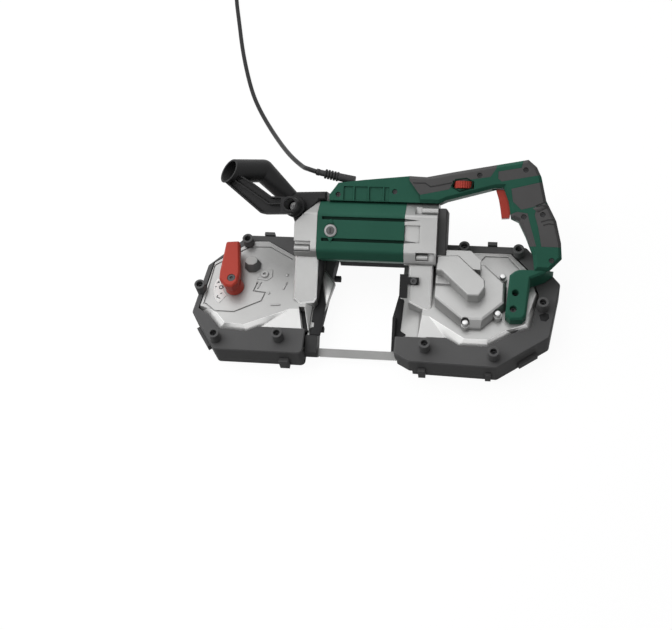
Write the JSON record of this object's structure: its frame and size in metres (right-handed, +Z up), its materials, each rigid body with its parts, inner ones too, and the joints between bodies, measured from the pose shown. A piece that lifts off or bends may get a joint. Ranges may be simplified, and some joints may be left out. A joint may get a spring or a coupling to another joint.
{
  "type": "portable band saw",
  "caption": "Corded deep-cut portable band saw with a tilted motor and loop handle, guarded wheels, a blade across an open throat, a tension lever and a front handle.",
  "frame": {"origin": "middle of the saw's box, on the plane its back covers lie on (cord left out)", "axes": "+X along the saw from the front (tension) wheel to the drive wheel, +Y from the cutting run towards the motor and handle, +Z up, away from the back covers"},
  "size_m": [0.705, 0.8779, 0.1811],
  "materials": {
    "cast_alloy": "satin cast",
    "guard_black": "matte",
    "shell_green": "satin",
    "soft_grey": "matte",
    "red": "satin",
    "steel": "satin",
    "blade_steel": "satin",
    "iron_core": "matte",
    "gear_bronze": "satin",
    "black_rubber": "matte"
  },
  "bodies": {
    "frame": {"main_frame": "cast_alloy", "front_guard": "guard_black", "rear_guard": "guard_black", "guard_screws": "steel", "front_back_cover": "guard_black", "rear_back_cover": "guard_black", "bridge_cover": "guard_black", "cover_clips": "guard_black", "spring_cap": "cast_alloy", "motor_housing": "shell_green", "end_bracket": "cast_alloy", "gear_head": "cast_alloy", "gear_end_cap": "guard_black", "stator": "iron_core", "brush_caps": "guard_black", "carbon_brushes": "iron_core", "motor_bearings": "steel", "gear_bearings": "steel", "gearbox_cover": "cast_alloy", "gearbox_cover_bolts": "steel", "handle_screws": "steel", "switch_body": "guard_black", "speed_module": "guard_black", "handle_foot": "shell_green", "handle_bracket": "guard_black", "front_handle": "guard_black", "handle_bolt": "steel", "blade": "blade_steel", "work_stop": "guard_black", "work_stop_screw": "steel", "strain_relief": "black_rubber", "cord": "black_rubber", "cord_coil": "black_rubber", "coil_tie": "guard_black", "plug": "guard_black", "handle_shell_near": "shell_green", "grip_insert_near": "soft_grey", "handle_shell_far": "shell_green", "grip_insert_far": "soft_grey", "front_guide_block": "guard_black", "rear_guide_block": "guard_black"},
    "armature": {"armature": "steel"},
    "idler_gear": {"idler_gear": "steel"},
    "worm": {"worm_shaft": "steel"},
    "drive": {"drive_shaft": "steel", "worm_wheel": "gear_bronze", "drive_wheel": "cast_alloy", "drive_tyre": "black_rubber"},
    "carriage": {"idler_carriage": "cast_alloy"},
    "idler": {"idler_wheel": "cast_alloy", "idler_tyre": "black_rubber", "idler_bearings": "steel"},
    "lever": {"tension_lever": "red", "cam_shaft": "steel"},
    "trigger": {"trigger": "red"},
    "dial": {"speed_dial": "red"},
    "front_outer_roller": {"front_outer_roller": "steel"},
    "front_inner_roller": {"front_inner_roller": "steel"},
    "rear_outer_roller": {"rear_outer_roller": "steel"},
    "rear_inner_roller": {"rear_inner_roller": "steel"}
  },
  "joints": [
    {"name": "armature_spin", "type": "hinge", "parent": "frame", "child": "armature", "pos_m": [0.00654, 0.04948, 0.07549], "axis": [1, 0, 0], "continuous": true},
    {"name": "idler_gear_spin", "type": "hinge", "parent": "frame", "child": "idler_gear", "pos_m": [0.09504, 0.03136, 0.06644], "axis": [1, 0, 0], "continuous": true},
    {"name": "worm_spin", "type": "hinge", "parent": "frame", "child": "worm", "pos_m": [0.12654, 0.0052, 0.05336], "axis": [1, 0, 0], "continuous": true},
    {"name": "drive_spin", "type": "hinge", "parent": "frame", "child": "drive", "pos_m": [0.13868, -0.0358, 0.04], "axis": [0, 0, 1], "continuous": true},
    {"name": "lever_turn", "type": "hinge", "parent": "frame", "child": "lever", "pos_m": [-0.20646, -0.0344, 0.06], "axis": [0, 0, 1], "range_deg": [0, 120]},
    {"name": "carriage_slide", "type": "slide", "parent": "frame", "child": "carriage", "axis": [1, 0, 0], "range_m": [0, 0.006]},
    {"name": "idler_wheel_spin", "type": "hinge", "parent": "carriage", "child": "idler", "pos_m": [-0.1686, -0.0358, 0.014], "axis": [0, 0, 1], "continuous": true},
    {"name": "trigger_press", "type": "slide", "parent": "frame", "child": "trigger", "axis": [0.9397, 0.302, 0.1606], "range_m": [0, 0.005], "stiffness_N_per_m": 400, "springref_m": -0.005},
    {"name": "dial_turn", "type": "hinge", "parent": "frame", "child": "dial", "pos_m": [0.12304, 0.10095, 0.12778], "axis": [0, 0.8829, 0.4695], "range_deg": [-135, 135]},
    {"name": "front_outer_roller_spin", "type": "hinge", "parent": "frame", "child": "front_outer_roller", "pos_m": [-0.08446, -0.1216, 0.01808], "axis": [0, 0.8829, 0.4695], "continuous": true},
    {"name": "front_inner_roller_spin", "type": "hinge", "parent": "frame", "child": "front_inner_roller", "pos_m": [-0.08446, -0.11725, 0.00992], "axis": [0, 0.8829, 0.4695], "continuous": true},
    {"name": "rear_outer_roller_spin", "type": "hinge", "parent": "frame", "child": "rear_outer_roller", "pos_m": [0.05354, -0.1216, 0.01808], "axis": [0, 0.8829, 0.4695], "continuous": true},
    {"name": "rear_inner_roller_spin", "type": "hinge", "parent": "frame", "child": "rear_inner_roller", "pos_m": [0.05354, -0.11725, 0.00992], "axis": [0, 0.8829, 0.4695], "continuous": true}
  ],
  "couplings": [
    {"joint": "idler_gear_spin", "follows": "armature_spin", "ratio": -0.8},
    {"joint": "worm_spin", "follows": "armature_spin", "ratio": 0.5},
    {"joint": "drive_spin", "follows": "armature_spin", "ratio": 0.015152},
    {"joint": "idler_wheel_spin", "follows": "armature_spin", "ratio": 0.015152},
    {"joint": "lever_turn", "follows": "carriage_slide", "rad_per_m": 349.06},
    {"joint": "front_outer_roller_spin", "follows": "armature_spin", "ratio": -0.31676},
    {"joint": "front_inner_roller_spin", "follows": "armature_spin", "ratio": 0.31676},
    {"joint": "rear_outer_roller_spin", "follows": "armature_spin", "ratio": -0.31676},
    {"joint": "rear_inner_roller_spin", "follows": "armature_spin", "ratio": 0.31676}
  ]
}
